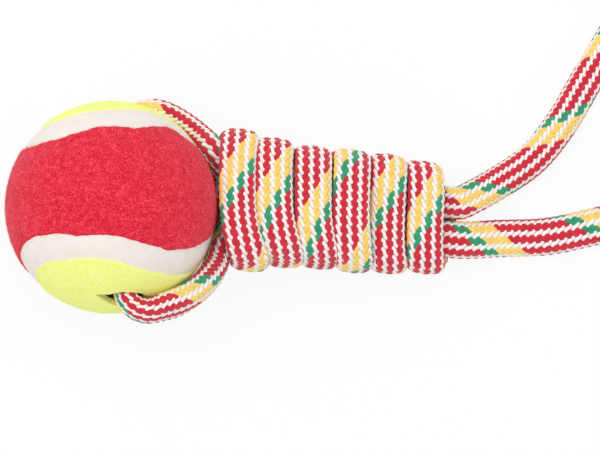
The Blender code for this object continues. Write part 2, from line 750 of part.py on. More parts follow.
def settle_origin(toy, left_out):
    """The origin goes to the middle of the underside of all that is drawn but the piece left out."""
    bpy.context.view_layer.update()
    drawn = [obj for obj in bpy.data.objects if obj.type == "MESH" and not obj.hide_render and obj.name != left_out]
    corners = np.array([obj.matrix_world @ Vector(corner) for obj in drawn for corner in obj.bound_box])
    low, high = corners.min(axis=0), corners.max(axis=0)
    toy.location = (-(low[0] + high[0]) / 2, -(low[1] + high[1]) / 2, -low[2])


def make_toy():
    clear_scene()
    braid = material("cotton_braid", (0.75, 0.25, 0.25), 0.85, 0.3)
    sealed = material("sealed_rope_end", (0.80, 0.66, 0.60), 0.5)
    toy = add_empty("toy", (0, 0, 0))
    rope = add_empty("rope", (0, 0, 0), toy)
    ball = add_empty("ball", BALL_CENTRE, toy)
    hinge = knot_place(HINGE_DISTANCE)
    handle = add_empty("handle", hinge, toy)

    winding = make_winding(braid, rope)
    first, first_facing = winding[0]
    start_out = (first - winding[1][0]).normalized()
    make_end_seal("rope_end_b", first, start_out, first_facing, TURN_WIDTH, TURN_THICKNESS, sealed, rope)
    make_ball_runs(winding, braid, rope)
    rope_stretch("core_strand_out", strand_route(out_strand, OUT_STRAND_START, STRAND_POINTS), braid, rope)
    rope_stretch("core_strand_back", strand_route(back_strand, BACK_STRAND_START, STRAND_POINTS), braid, rope)
    tail, tail_facing = back_strand(BACK_STRAND_START)
    tail_out = (tail - strand_route(back_strand, BACK_STRAND_START, STRAND_POINTS)[1][0]).normalized()
    make_end_seal("rope_end_a", tail, tail_out, tail_facing, ROPE_WIDTH, ROPE_THICKNESS, sealed, rope)
    make_loop(braid, handle, hinge)
    make_ball(ball)
    settle_origin(toy, "handle_loop")


make_toy()
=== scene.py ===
"""Looks of the dog tug toy: a felt-covered ball on a braided cotton rope with a wound knot and a hand loop.

The toy lies on a white table, seen from straight above. Lengths are in metres.
"""

import json
from math import ceil, cos, floor, hypot, pi, radians, sin, sqrt

import bmesh
import bpy
import numpy as np
from mathutils import Euler, Matrix, Vector, noise

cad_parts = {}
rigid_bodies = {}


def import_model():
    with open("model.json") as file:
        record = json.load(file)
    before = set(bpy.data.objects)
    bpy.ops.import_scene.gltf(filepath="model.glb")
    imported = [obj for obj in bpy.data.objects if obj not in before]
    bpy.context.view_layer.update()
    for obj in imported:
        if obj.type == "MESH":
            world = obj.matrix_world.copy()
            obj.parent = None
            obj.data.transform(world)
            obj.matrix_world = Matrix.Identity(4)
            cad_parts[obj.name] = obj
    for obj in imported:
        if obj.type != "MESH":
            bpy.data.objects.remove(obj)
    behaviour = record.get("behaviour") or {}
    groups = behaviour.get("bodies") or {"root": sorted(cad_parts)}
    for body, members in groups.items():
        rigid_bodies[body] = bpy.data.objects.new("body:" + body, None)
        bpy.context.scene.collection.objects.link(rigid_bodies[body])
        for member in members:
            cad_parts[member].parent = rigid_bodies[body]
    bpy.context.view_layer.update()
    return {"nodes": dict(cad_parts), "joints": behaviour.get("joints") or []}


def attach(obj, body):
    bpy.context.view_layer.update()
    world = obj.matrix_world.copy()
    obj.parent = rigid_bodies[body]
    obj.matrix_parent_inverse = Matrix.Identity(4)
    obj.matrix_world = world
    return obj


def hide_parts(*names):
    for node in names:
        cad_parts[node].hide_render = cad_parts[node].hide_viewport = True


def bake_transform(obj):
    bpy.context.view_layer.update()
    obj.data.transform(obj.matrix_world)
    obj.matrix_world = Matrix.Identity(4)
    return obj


for leftover in list(bpy.data.objects):
    bpy.data.objects.remove(leftover)
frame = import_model()


# Camera: a long lens straight above the table, with the top of the picture towards +Y.
# The picture is 184 mm wide at the height of the ball's middle, and the hand loop leaves it.
PICTURE_WIDTH = 0.1840
PICTURE_MIDDLE = (0.0208, -0.0046)
PICTURE_HEIGHT = 0.0325
CAMERA_HEIGHT = 2.0


def add_object(name, data):
    """An object in the scene."""
    made = bpy.data.objects.new(name, data)
    bpy.context.scene.collection.objects.link(made)
    return made


lens = bpy.data.cameras.new("long_lens")
lens.lens = lens.sensor_width * (CAMERA_HEIGHT - PICTURE_HEIGHT) / PICTURE_WIDTH
camera = add_object("camera", lens)
camera.location = (*PICTURE_MIDDLE, CAMERA_HEIGHT)
bpy.context.scene.camera = camera
bpy.context.scene.view_settings.view_transform = "Standard"


# Hand loop: the free end of the toy, one length of cotton rope that leaves the knot, lies on the
# table in a wide bow and goes back into the knot. The rope is a hollow braid of 32 yarns, 16 dyed
# ones wound one way over and under 16 white ones wound the other way, and it is pressed to an oval.
ROPE_WIDTH = 0.0116
ROPE_THICKNESS = 0.0080
# How full the pressed oval's corners are: 2 is an ellipse
ROPE_SQUARENESS = 2.3
OVAL_STEPS = 720
ROUTE_STEPS = 20
CORE_SIDES = 16
# A yarn goes once round the rope's girth in one lay. Stitches stand in columns of four steps round it,
# the dyed and white ones this far into theirs.
LAY = 0.0353
GIRTH = 0.0310
YARNS = 16
COLUMNS = 8
COLUMN_STEPS = 4
DYED_STEP = 0.5
WHITE_STEP = 2.5
# Stitch width, height and length, and how much prouder the dyed ones lie
DYED_STITCH = (0.00192, 0.00105, 0.0047)
DYED_LIFT = 0.00006
WHITE_STITCH = (0.00174, 0.00108, 0.0039)
STITCH_FACETS = 6
STITCH_RINGS = 5
STITCH_BLUNTNESS = 0.4
YARN_DEPTH = 0.0005
KNOT_TILT = radians(12.7555)
KNOT_YAW = radians(-5.2)
STRAND_SPACING = 0.0119
TUCK = 0.0090
LOOP_LEAD = 0.0025
LOOP_LIFT = 0.0003
LOOP_POINTS = 420
# Points at either end that lie at the knot, above the table
KNOT_POINTS = 42
# The braid is stretched a little along the first strand: its lays at the start, there and at the end
LOOP_FIRST_LAY = 0.490
OUT_LENGTH = 0.0650
OUT_LAY = 0.0376
LOOP_LAST_LAY = 12.515
# The strand that comes back is drawn narrower over these shares of the loop, and leans off the knot
DRAWN_WIDTH = 0.0103
DRAWN_SHARES = (0.45, 0.60)
BACK_STUB = 0.0012
BACK_LEAD = 0.0062
BACK_LEAN = radians(22.0)
LOOP_ROUTE = (
    (0.0145, -0.0057), (0.0301, -0.0050), (0.0427, -0.0024), (0.0599, 0.0018), (0.0799, 0.0063),
    (0.0999, 0.0103), (0.1155, 0.0138), (0.1360, 0.0238), (0.1478, 0.0427), (0.1497, 0.0652),
    (0.1406, 0.0852), (0.1233, 0.0984), (0.1013, 0.1022), (0.0799, 0.0957), (0.0638, 0.0818),
    (0.0563, 0.0684), (0.0489, 0.0551), (0.0417, 0.0431), (0.0342, 0.0303), (0.0248, 0.0188),
    (0.0137, 0.0112),
)


def linear(hex_code):
    """An sRGB hex colour in linear values."""
    shares = [int(hex_code[place : place + 2], 16) / 255 for place in (0, 2, 4)]
    colour = [share / 12.92 if share <= 0.04045 else ((share + 0.055) / 1.055) ** 2.4 for share in shares]
    return (*colour, 1)


def add_node(tree, kind, inputs=(), **settings):
    """A node with its settings; each input is a value, an output, or a node for its first output."""
    node = tree.nodes.new(kind)
    for name, value in settings.items():
        setattr(node, name, value)
    for name, value in dict(inputs).items():
        if isinstance(value, bpy.types.Node):
            value = value.outputs[0]
        if isinstance(value, bpy.types.NodeSocket):
            tree.links.new(value, node.inputs[name])
        else:
            node.inputs[name].default_value = value
    return node


def new_material(name):
    """A material and its node tree, still empty."""
    made = bpy.data.materials.new(name)
    made.use_nodes = True
    made.node_tree.nodes.clear()
    return made, made.node_tree


def close_material(tree, colour, height, relief, finish):
    """A material's end: relief from a height, the shader with its finish, and the output."""
    bump = add_node(tree, "ShaderNodeBump", {"Height": height, **relief})
    shader = add_node(tree, "ShaderNodeBsdfPrincipled", {"Base Color": colour, "Normal": bump, **finish})
    add_node(tree, "ShaderNodeOutputMaterial", {"Surface": shader})


def cotton_yarn(name, hex_code, shade_code):
    """Soft-spun cotton: matt, a little fuzzy, with fibres along the yarn and an uneven dye."""
    yarn, tree = new_material(name)
    place = add_node(tree, "ShaderNodeTexCoord").outputs
    # The dye varies from stitch to stitch, about every 2.5 mm
    dye = add_node(tree, "ShaderNodeTexNoise", {"Vector": place["Object"], "Scale": 400.0, "Detail": 2.0})
    # Fibres run along the yarn, some 12 across its width, drawn coarser than real ones so that they show
    slant = {"Vector": place["UV"], "Rotation": (0, 0, 0.35), "Scale": (26, 2.5, 1)}
    along = add_node(tree, "ShaderNodeMapping", slant)
    fibres = add_node(tree, "ShaderNodeTexNoise", {"Vector": along, "Scale": 1.0, "Detail": 2.0})
    share = add_node(tree, "ShaderNodeMath", {0: dye, 1: fibres}, operation="MULTIPLY")
    ramp = add_node(tree, "ShaderNodeMapRange", {"Value": share, "From Min": 0.10, "From Max": 0.36})
    shades = {"Factor": ramp, 6: linear(shade_code), 7: linear(hex_code)}
    colour = add_node(tree, "ShaderNodeMix", shades, data_type="RGBA").outputs[2]
    # The fibres stand 0.05 mm proud
    relief = {"Strength": 0.6, "Distance": 0.00005}
    finish = {"Roughness": 0.9, "Sheen Weight": 0.2, "Sheen Roughness": 0.6}
    close_material(tree, colour, fibres, relief, finish)
    return yarn


RED, WHITE, YELLOW, GREEN, CORE = range(5)
yarns = [
    cotton_yarn("dyed_cotton_red", "E01B37", "C00E2B"),
    cotton_yarn("bleached_cotton", "FFFDFB", "F0E8E4"),
    cotton_yarn("dyed_cotton_yellow", "FFE07A", "F7C95C"),
    cotton_yarn("dyed_cotton_green", "2CA878", "1C8A60"),
    # Painted shade: the core is a blend of the red and white yarns beneath the stitches, darkened to stand
    # for the shade in the gaps between them
    cotton_yarn("core_yarns_painted_shade", "D88A8E", "B86870"),
]
# Along a column come ten red stitches, two green ones and four yellow ones
YARN_ORDER = (RED,) * 10 + (GREEN,) * 2 + (YELLOW,) * 4


def add_stitch(bm, place, lean, size, slot):
    """One visible stitch of a yarn: a round-ended pill that lies over two crossing yarns."""
    facets = {"u_segments": STITCH_FACETS, "v_segments": STITCH_RINGS}
    made = bmesh.ops.create_uvsphere(bm, **facets, radius=0.5, calc_uvs=True)["verts"]
    for vert in made:
        blunt = max(2 * hypot(vert.co.x, vert.co.y), 0.01) ** -STITCH_BLUNTNESS
        vert.co.x *= blunt
        vert.co.y *= blunt
    size = Matrix.Diagonal((*size, 1))
    turn = Matrix.Rotation(-lean, 4, "Z") @ Matrix.Rotation(-pi / 2, 4, "X")
    bmesh.ops.transform(bm, verts=made, matrix=Matrix.Translation(place) @ turn @ size)
    for face in {face for vert in made for face in vert.link_faces}:
        face.material_index = slot
        face.smooth = True
    return made


def one_lay():
    """One lay of the braid unrolled flat: x goes round the rope, y along it and z off it."""
    bm = bmesh.new()
    bm.loops.layers.uv.new("yarn")
    number = bm.verts.layers.int.new("stitch")
    step_round, step_along = GIRTH / (COLUMN_STEPS * COLUMNS), LAY / (2 * YARNS)
    lean = np.arctan2(GIRTH, LAY)
    middles = []
    for column in range(COLUMNS):
        here = COLUMN_STEPS * column
        for yarn in range(YARNS):
            dyed = (here + DYED_STEP - 2 * yarn) % (2 * YARNS)
            white = (2 * yarn - here - WHITE_STEP) % (2 * YARNS)
            for row, over, way, size, lift, slot in (
                (dyed, DYED_STEP, 1, DYED_STITCH, DYED_LIFT, YARN_ORDER[-yarn % YARNS]),
                (white, WHITE_STEP, -1, WHITE_STITCH, 0, WHITE),
            ):
                place = ((here + over) * step_round, row * step_along, lift)
                for vert in add_stitch(bm, place, way * lean, size, slot):
                    vert[number] = len(middles)
                middles.append(row * step_along / LAY)
    return bm, middles


lay_sheet, stitch_middles = one_lay()


def vertices(pieces):
    """The vertices among an operator's pieces."""
    return [piece for piece in pieces if isinstance(piece, bmesh.types.BMVert)]


def flat_braid(first, last):
    """The braid's stitches from one place to another, in lays, unrolled flat."""
    bm = lay_sheet.copy()
    number = bm.verts.layers.int["stitch"]
    originals = bm.verts[:]
    pattern = originals + bm.edges[:] + bm.faces[:]
    for lay in range(floor(first), ceil(last)):
        verts = vertices(bmesh.ops.duplicate(bm, geom=pattern)["geom"])
        bmesh.ops.translate(bm, verts=verts, vec=(0, lay * LAY, 0))
        if not first <= lay <= last - 1:
            outside = [vert for vert in verts if not first < lay + stitch_middles[vert[number]] < last]
            bmesh.ops.delete(bm, geom=outside, context="VERTS")
    bmesh.ops.delete(bm, geom=originals, context="VERTS")
    return bm


def add_piece(name, bm, materials):
    """An object from a bmesh, with its materials in their slots' order."""
    mesh = bpy.data.meshes.new(name)
    bm.to_mesh(mesh)
    bm.free()
    for finish in materials:
        mesh.materials.append(finish)
    return add_object(name, mesh)


def hermite(first, last, start, end, share):
    """A smooth value between two, with the slopes given at both."""
    square, cube = share * share, share * share * share
    rise = 3 * square - 2 * cube
    return first * (1 - rise) + last * rise + start * (cube - 2 * square + share) + end * (cube - square)


def smooth_step(share):
    """How far a gentle change has come at a share of its way."""
    share = min(max(share, 0), 1)
    return share * share * (3 - 2 * share)


def eased(count, shares):
    """How far a gentle change between two shares of a run has come at each of its places."""
    start, end = shares
    return np.array([smooth_step((place / count - start) / (end - start)) for place in range(count)])


def route_run(route):
    """The length along a route at each of its places."""
    return np.cumsum([0.0] + [(b[0] - a[0]).length for a, b in zip(route, route[1:])])


def at_lengths(lengths, run, rows):
    """A run's rows of values, worked out for other lengths along it."""
    return np.stack([np.interp(lengths, run, column) for column in np.transpose(rows)])


def smooth_route(guides, count):
    """Even places on a smooth curve through guides: pairs of a place and the flat side's facing."""
    places = [place for place, _ in guides]
    facings = [facing.normalized() for _, facing in guides]
    chords = [b - a for a, b in zip(places, places[1:])]
    slopes = [chords[0].normalized()]
    for before, after in zip(chords, chords[1:]):
        near, far = before.length, after.length
        slopes.append((before / near * far + after / far * near) / (near + far))
    slopes.append(chords[-1].normalized())
    fine = []
    for i, chord in enumerate(chords):
        for step in range(ROUTE_STEPS):
            share = step / ROUTE_STEPS
            start, end = slopes[i] * chord.length, slopes[i + 1] * chord.length
            place = hermite(places[i], places[i + 1], start, end, share)
            fine.append((place, facings[i].lerp(facings[i + 1], share)))
    fine.append((places[-1], facings[-1]))
    run = route_run(fine)
    even = at_lengths(np.linspace(0, run[-1], count), run, [(*place, *facing) for place, facing in fine])
    return [(Vector(spot[:3]), Vector(spot[3:])) for spot in even.T]


def route_directions(route):
    """For each place of a route: across the rope, off its flat side and along it."""
    places = [place for place, _ in route]
    directions = []
    for i, (place, facing) in enumerate(route):
        before = (place - places[i - 1]).normalized() if i else Vector()
        after = (places[i + 1] - place).normalized() if i < len(places) - 1 else Vector()
        along = (before + after).normalized()
        off = (facing - along * facing.dot(along)).normalized()
        directions.append((off.cross(along), off, along))
    return directions


def finish_faces(bm):
    """Turns all faces outwards and shades them smooth."""
    bmesh.ops.recalc_face_normals(bm, faces=bm.faces)
    for face in bm.faces:
        face.smooth = True


def rope_core(route, directions, widths, thicknesses):
    """The inside of the rope: a closed oval tube, a yarn's depth below the surface."""
    bm = bmesh.new()
    bm.loops.layers.uv.new("yarn")
    bmesh.ops.create_circle(bm, cap_ends=True, segments=CORE_SIDES, radius=1)
    face, before = bm.faces[:][0], Matrix()
    for i, (place, _) in enumerate(route):
        across, off, along = directions[i]
        half_width, half_thickness = widths[i] / 2 - YARN_DEPTH, thicknesses[i] / 2 - YARN_DEPTH
        columns = (across * half_width, off * half_thickness, along, place)
        after = Matrix([[*(column[row] for column in columns)] for row in range(3)] + [[0, 0, 0, 1]])
        ring = face.verts[:]
        if i:
            grown = bmesh.ops.extrude_face_region(bm, geom=[face], use_keep_orig=True)["geom"]
            if i > 1:
                bmesh.ops.delete(bm, geom=[face], context="FACES_ONLY")
            ring = vertices(grown)
            face = next(piece for piece in grown if isinstance(piece, bmesh.types.BMFace))
        bmesh.ops.transform(bm, matrix=after @ before.inverted(), verts=ring)
        before = after
    # Its colour is painted shade: the yarns beneath the stitches, darkened for the gaps between them
    for face in bm.faces:
        face.material_index = CORE
    finish_faces(bm)
    return bm


def pressed(values, power):
    """Values raised to a power with their signs kept, which squares an oval's corners."""
    return np.sign(values) * np.abs(values) ** power


def on_oval(angles, power):
    """Places on a pressed oval, across and through it."""
    return pressed(np.cos(angles), power), pressed(np.sin(angles), power)


def angle_on_oval(share, ratio):
    """The angle on the pressed oval at a share of its girth; ratio is its thickness to its width."""
    angles = np.linspace(0, 2 * pi, OVAL_STEPS + 1)
    wide, thick = on_oval(angles, 2 / ROPE_SQUARENESS)
    girth = np.concatenate([[0], np.cumsum(np.hypot(np.diff(wide), ratio * np.diff(thick)))])
    return np.interp(share % 1, girth / girth[-1], angles)


def drawn_out(lengths, values, reach):
    """A table carried on straight beyond both its ends."""
    first = values[0] - (values[1] - values[0]) / (lengths[1] - lengths[0]) * reach
    last = values[-1] + (values[-1] - values[-2]) / (lengths[-1] - lengths[-2]) * reach
    return [lengths[0] - reach, *lengths, lengths[-1] + reach], [first, *values, last]


def braided_rope(name, route, widths, thicknesses, lays):
    """A stretch of the rope. lays gives pairs of a length along the route and the braid's lay there."""
    directions = route_directions(route)
    run = route_run(route)
    lengths, counts = zip(*lays)
    bm = flat_braid(*np.interp((0, run[-1]), lengths, counts))
    mesh = bpy.data.meshes.new(name)
    bm.to_mesh(mesh)
    bm.free()
    flat = np.empty(len(mesh.vertices) * 3)
    mesh.vertices.foreach_get("co", flat)
    round_it, lay, height = flat.reshape(-1, 3).T

    # Drawn along the route and laid round the oval, with each stitch square off it
    lengths, counts = drawn_out(lengths, counts, LAY)
    reach = np.interp(lay / LAY, counts, lengths)
    half_width = np.interp(reach, run, widths) / 2 - YARN_DEPTH
    half_thickness = np.interp(reach, run, thicknesses) / 2 - YARN_DEPTH
    angle = angle_on_oval(round_it / GIRTH, np.mean(thicknesses) / np.mean(widths))
    wide, thick = on_oval(angle, 2 / ROPE_SQUARENESS)
    out, up = on_oval(angle, 2 - 2 / ROPE_SQUARENESS)
    out, up = out / half_width, up / half_thickness
    lift = height / np.hypot(out, up)
    spots = [np.array([*place, *across, *off]) for (place, _), (across, off, _) in zip(route, directions)]
    run, spots = drawn_out(list(run), spots, LAY)
    middle, across, off = at_lengths(reach, run, spots).reshape(3, 3, -1)
    across = across * (half_width * wide + lift * out)
    off = off * (half_thickness * thick + lift * up)
    mesh.vertices.foreach_set("co", (middle + across + off).T.ravel())

    whole = rope_core(route, directions, widths, thicknesses)
    whole.from_mesh(mesh)
    bpy.data.meshes.remove(mesh)
    rope = add_piece(name, whole, yarns)
    return rope


joints = {joint["name"]: joint for joint in frame["joints"]}
hinge = Vector(joints["handle_swing"]["pos_m"])
hinge_across = -Vector(joints["handle_swing"]["axis"]).normalized()
knot_along = Vector((cos(KNOT_TILT) * cos(KNOT_YAW), cos(KNOT_TILT) * sin(KNOT_YAW), -sin(KNOT_TILT)))
hinge_through = knot_along.cross(hinge_across)
lean = knot_along * cos(BACK_LEAN) + hinge_across * sin(BACK_LEAN)
loop_height = LOOP_LIFT + ROPE_THICKNESS / 2
out_exit = hinge - hinge_across * STRAND_SPACING / 2
back_exit = hinge + hinge_across * (STRAND_SPACING - ROPE_WIDTH + DRAWN_WIDTH) / 2
upward = Vector((0, 0, 1))
on_table = [(Vector((hinge.x + x, hinge.y + y, loop_height)), upward) for x, y in LOOP_ROUTE]
out_places = (out_exit - knot_along * TUCK, out_exit, out_exit + knot_along * LOOP_LEAD)
back_places = (back_exit + lean * BACK_LEAD, back_exit + knot_along * BACK_STUB)
back_places += (back_exit, back_exit - knot_along * TUCK)
loop_guides = [(place, hinge_through) for place in out_places]
loop_guides += on_table
loop_guides += [(place, hinge_through) for place in back_places]
loop_route = smooth_route(loop_guides, LOOP_POINTS)
for place, _ in loop_route[KNOT_POINTS:-KNOT_POINTS]:
    place.z = max(place.z, loop_height)
loop_length = route_run(loop_route)[-1]
out_end = (OUT_LENGTH, LOOP_FIRST_LAY + OUT_LENGTH / OUT_LAY)
loop_lays = ((0, LOOP_FIRST_LAY), out_end, (loop_length, LOOP_LAST_LAY))
widths = ROPE_WIDTH + (DRAWN_WIDTH - ROPE_WIDTH) * eased(LOOP_POINTS, DRAWN_SHARES)
hand_loop = braided_rope("hand_loop", loop_route, widths, [ROPE_THICKNESS] * LOOP_POINTS, loop_lays)
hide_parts("handle_loop")
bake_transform(hand_loop)


# Winding: the same rope, pulled flat and wound six times round its own two strands, from the loop's
# end of the knot to the ball's end. Its turns press on one another.
TURNS = 6
POINTS_PER_TURN = 60
TURN_WIDTH = 0.0097
TURN_THICKNESS = 0.0050
TURN_PITCH = 0.01156
TURN_SQUARENESS = 3.0
SEAT_GAP = 0.0003
PULLED_WIDTH = 0.0118
PULLED_THICKNESS = 0.0054
PULLED_LAY = 0.0400
# How far the knot lies from the ball's middle and beside it, and how it rolls
KNOT_START = 0.0405
KNOT_SIDE = 0.0056
KNOT_ROLL_AT_BALL = radians(-17.0)
KNOT_ROLL_AT_LOOP = radians(-2.6)
# Where the winding starts and ends, in turns
WINDING_START = -0.25
WINDING_END = 5.67
# For each turn from the ball's end: the room inside, in the rope's widths and thicknesses, and how far
# its back, bottom, front and top lie from its place in the row, in pitches
INNER_WIDTH_SHARES = (1.448, 1.224, 1.138, 1.164, 1.129, 1.030)
INNER_HEIGHT_SHARES = (1.00, 1.10, 1.10, 1.10, 0.60, 0.59)
BACK_SHARES = (0.62, 0.60, 0.58, 0.56, 0.54, 0.57)
BOTTOM_SHARES = (0.27, 0.24, 0.21, 0.18, 0.15, 0.17)
FRONT_SHARES = (-0.32, -0.33, -0.27, -0.23, -0.17, -0.09)
TOP_SHARES = (-0.15, -0.22, -0.20, -0.17, -0.14, -0.16)
# The quarters past the last of them, where the rope leaves for the ball
LAST_SHARES = (-0.32, -0.50)
# How far the rope runs straight beyond the first and last turns, in its widths
START_LEAD_SHARES = (0.4, 0.2)
END_LEAD_SHARES = (0.5, 1.0)
# The green band's middle on the side that faces off the flat, as a share of the lay
GREEN_SHARE = 29 / 32
# Where a green band's middle lies on each turn's front, from the loop's end: up from the ball's middle
GREEN_PLACES = (-0.0047, 0.0012, 0.0138, -0.0072, 0.0014, 0.0068)


def table_value(values, place):
    """A smooth value between a table's entries; past its ends it stays level."""
    last = len(values) - 1
    place = min(max(place, 0), last)
    low = min(int(place), last - 1)
    start = (values[low + 1] - values[max(low - 1, 0)]) / 2
    end = (values[min(low + 2, last)] - values[low]) / 2
    return hermite(values[low], values[low + 1], start, end, place - low)


ball_middle = Vector(joints["ball_spin"]["pos_m"])
knot_across = upward.cross(knot_along).normalized()
knot_through = knot_along.cross(knot_across)


def knot_directions(along):
    """Across and through the flat knot, which is rolled most at the ball."""
    share = smooth_step(along / ((TURNS - 1) * TURN_PITCH))
    roll = KNOT_ROLL_AT_BALL + (KNOT_ROLL_AT_LOOP - KNOT_ROLL_AT_BALL) * share
    across = knot_across * cos(roll) + knot_through * sin(roll)
    through = knot_through * cos(roll) - knot_across * sin(roll)
    return across, through


def knot_place(along, across=0, through=0):
    """A place by its distances along, across and through the knot."""
    side, face = knot_directions(along)
    axis = ball_middle + knot_along * (KNOT_START + along) + knot_across * KNOT_SIDE
    return axis + side * across + face * through


def quarter_places():
    """Each quarter of a turn's place along the knot, in pitches, from just before the first bottom."""
    places = []
    for turn in range(TURNS - 1, -1, -1):
        shares = (BACK_SHARES[turn], BOTTOM_SHARES[turn], FRONT_SHARES[turn], TOP_SHARES[turn])
        places += [turn + share for share in shares]
    return (*places, *LAST_SHARES)


def winding_point(progress):
    """A place on the turns and the outward direction there."""
    along = TURN_PITCH * table_value(quarter_places(), 4 * progress + 1)
    pitches = along / TURN_PITCH
    half_width = ROPE_WIDTH * table_value(INNER_WIDTH_SHARES, pitches) + SEAT_GAP + TURN_THICKNESS / 2
    half_height = ROPE_THICKNESS * table_value(INNER_HEIGHT_SHARES, pitches) + SEAT_GAP + TURN_THICKNESS / 2
    across, through = -cos(2 * pi * progress), sin(2 * pi * progress)
    bulge = 2 / TURN_SQUARENESS
    place = knot_place(along, half_width * pressed(across, bulge), half_height * pressed(through, bulge))
    side, face = knot_directions(along)
    sideways = side * (pressed(across, 2 - bulge) / half_width)
    outward = sideways + face * (pressed(through, 2 - bulge) / half_height)
    return place, outward.normalized()


def even_rope(name, route, width, thickness, lays):
    """A stretch of the rope that is the same all along."""
    return braided_rope(name, route, [width] * len(route), [thickness] * len(route), lays)


def lead(end, inner, shares):
    """Places straight on past an end of the turns."""
    onward = (end[0] - inner[0]).normalized() * TURN_WIDTH
    return [(end[0] + onward * share, end[1]) for share in shares]


steps = range(round(WINDING_START * POINTS_PER_TURN), round(WINDING_END * POINTS_PER_TURN) + 1)
turns = [winding_point(step / POINTS_PER_TURN) for step in steps]
lead_in = lead(turns[0], turns[1], START_LEAD_SHARES)
lead_out = lead(turns[-1], turns[-2], END_LEAD_SHARES)
winding_way = [*lead_in, *turns, *lead_out]
winding_run = route_run(winding_way)

# The bands of colour: their places on the fronts are set, and the backs take up what is left
progress_run = winding_run[len(lead_in) : -len(lead_out)]
winding_lays = []
band = 1
for turn, green in enumerate(GREEN_PLACES):
    first = (turn - WINDING_START) * POINTS_PER_TURN
    front = slice(round(first), round(first + POINTS_PER_TURN / 2) + 1)
    heights = [place.y - ball_middle.y for place, _ in turns[front]]
    middle = np.interp(green, heights, progress_run[front])
    if turn:
        band += round((middle - green_middle) / PULLED_LAY)
    green_middle = middle
    for end in (progress_run[front][0], progress_run[front][-1]):
        winding_lays.append((end, band + GREEN_SHARE + (end - middle) / PULLED_LAY))
winding_lays.insert(0, (0, winding_lays[0][1] - winding_lays[0][0] / PULLED_LAY))
winding_end_lay = winding_lays[-1][1] + (winding_run[-1] - winding_lays[-1][0]) / PULLED_LAY
winding_lays.append((winding_run[-1], winding_end_lay))

winding = even_rope("winding_turns", winding_way, PULLED_WIDTH, PULLED_THICKNESS, winding_lays)
for vert in winding.data.vertices:
    vert.co.z = max(vert.co.z, 0)
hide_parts("winding")
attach(winding, "rope")


# Ball runs: from the knot the rope swells to its free oval, lies round the ball and enters the lower
# hole, passes straight through the ball, and comes back round the other side of the ball to the knot.
# The holes squeeze it nearly round.
FELT_THICKNESS = 0.0025
CORE_WALL = 0.0034
PINCH_WIDTH = 0.0078
PINCH_THICKNESS = 0.0066
# Shares of a run over which the rope grows past the winding and swells past each hole
GROWTH_SHARES = (0, 0.42)
LOWER_SWELL_SHARES = (0.16, 0.36)
UPPER_SWELL_SHARES = (0.28, 0.56)
BEND_RADIUS = 0.0060
BEND_STEPS = 3
RUN_PLACES = 120
INSIDE_PLACES = 40
RUN_LEAD = 0.0020
TURN_UP = (-0.0035, -0.0074, -0.0099)
LOWER_GREEN_AT = 0.0300
# Bearings and heights on the ball in degrees, and the lift off the felt in the rope's thicknesses
LOWER_RUN = (
    (-62.5, 19.5, -0.05), (-53.0, 13.6, -0.01), (-43.9, 7.0, 0.00), (-37.8, 1.2, 0.00),
    (-30.5, -6.2, 0.01), (-21.8, -12.2, -0.06),
)
UPPER_RUN = (
    (85.5, -39.5, -0.06), (77.0, -38.0, -0.03), (69.5, -32.8, -0.01), (61.5, -28.9, 0.00),
    (49.6, -25.6, 0.00), (38.5, -21.3, 0.00), (26.6, -14.8, 0.06),
)
STRAND_START = -0.0020
OUT_STRAND_OFFSET = 0.80 * ROPE_WIDTH
# Round the upper hole's lip the rope is pressed thinner over these shares of its run
LIP_PRESS = 0.0018
PRESS_SHARES = (0.04, 0.12)
RELEASE_SHARES = (0.28, 0.40)
# The braid is drawn out by this length inside the ball
INSIDE_STRETCH = 0.0012

bore_axis = Vector(joints["ball_spin"]["axis"]).normalized()
ball_radius = ball_middle.z
core_radius = ball_radius - FELT_THICKNESS
hug_radius = ball_radius + SEAT_GAP + ROPE_THICKNESS / 2
bend_start = ball_radius + SEAT_GAP + PINCH_THICKNESS / 2 - BEND_RADIUS
meet_radius = core_radius - CORE_WALL - ROPE_THICKNESS / 2


def hug_point(bearing, height, lift):
    """A place of the rope on the felt, and the direction off the ball there."""
    bearing, height = radians(bearing), radians(height)
    radial = Vector((cos(height) * cos(bearing), cos(height) * sin(bearing), sin(height)))
    return ball_middle + radial * (hug_radius + lift * ROPE_THICKNESS), radial


def bend_heading(run):
    """The direction that the rope takes where it leaves a hole: square to the bore, along the run."""
    _, radial = hug_point(*run[0])
    return (radial - bore_axis * radial.dot(bore_axis)).normalized()


def hole_way(side, run):
    """From inside the ball through one hole, round its lip and along the felt."""
    out = bore_axis * side
    heading = bend_heading(run)
    inside = (meet_radius, (meet_radius + bend_start) / 2)
    way = [(ball_middle + out * radius, -heading) for radius in inside]
    for step in range(BEND_STEPS + 1):
        angle = pi / 2 * step / BEND_STEPS
        reach = bend_start + BEND_RADIUS * sin(angle)
        place = ball_middle + out * reach + heading * BEND_RADIUS * (1 - cos(angle))
        way.append((place, out * sin(angle) - heading * cos(angle)))
    return way + [hug_point(*spot) for spot in run]


def fitted_lays(length, first, last):
    """Lays from a first count to a last one's place in its lay, nearest to the free lay."""
    return (0, first), (length, last + round(first + length / LAY - last))


